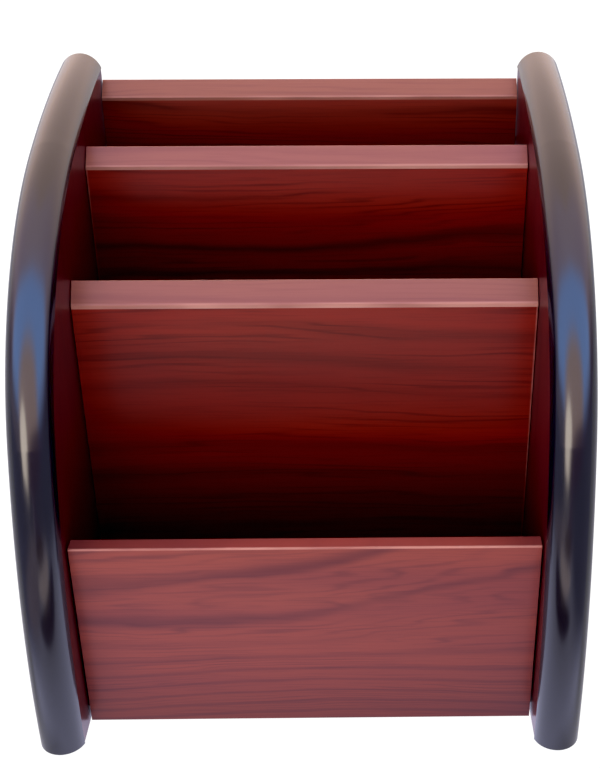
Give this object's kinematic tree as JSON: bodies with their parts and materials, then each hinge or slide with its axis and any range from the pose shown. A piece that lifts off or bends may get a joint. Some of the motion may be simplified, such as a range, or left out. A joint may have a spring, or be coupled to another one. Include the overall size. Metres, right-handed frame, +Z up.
{
  "type": "stepped desk organizer with drawer",
  "caption": "Stepped wooden pen stand: curved side panels with black domed edging, dividers that rise to the back, and a low drawer whose tall front closes the front pocket.",
  "frame": {"origin": "bottom centre of the whole stand with the drawer shut, on the desk", "axes": "+X to the right as seen from the front, +Y to the back, so the drawer opens along -Y, +Z up"},
  "size_m": [0.1524, 0.1246, 0.1657],
  "materials": {
    "rosewood_laminate": "glossy rosewood laminate with dark wavy grain along the board",
    "rosewood_edge_band": "glossy rosewood edge strip, paler than the faces",
    "black_trim": "glossy black moulded strip",
    "drawer_board": "satin rosewood laminate",
    "glue_block_wood": "plain sawn softwood",
    "steel_brads": "plain steel"
  },
  "bodies": {
    "carcass": {"left_side_panel": "rosewood_laminate", "right_side_panel": "rosewood_laminate", "left_edge_trim": "black_trim", "right_edge_trim": "black_trim", "back_panel": "rosewood_laminate", "rear_divider": "rosewood_laminate", "front_divider": "rosewood_laminate", "compartment_floor": "rosewood_laminate", "base_panel": "rosewood_laminate", "back_panel_edge_band": "rosewood_edge_band", "rear_divider_edge_band": "rosewood_edge_band", "front_divider_edge_band": "rosewood_edge_band", "joint_brads": "steel_brads"},
    "drawer": {"drawer_front": "rosewood_laminate", "drawer_front_edge_band": "rosewood_edge_band", "drawer_left_side": "drawer_board", "drawer_right_side": "drawer_board", "drawer_back": "drawer_board", "drawer_bottom": "drawer_board", "drawer_corner_blocks": "glue_block_wood", "drawer_brads": "steel_brads"}
  },
  "joints": [
    {"name": "drawer_slide", "type": "slide", "parent": "carcass", "child": "drawer", "axis": [0, -1, 0], "range_m": [0, 0.058]}
  ]
}
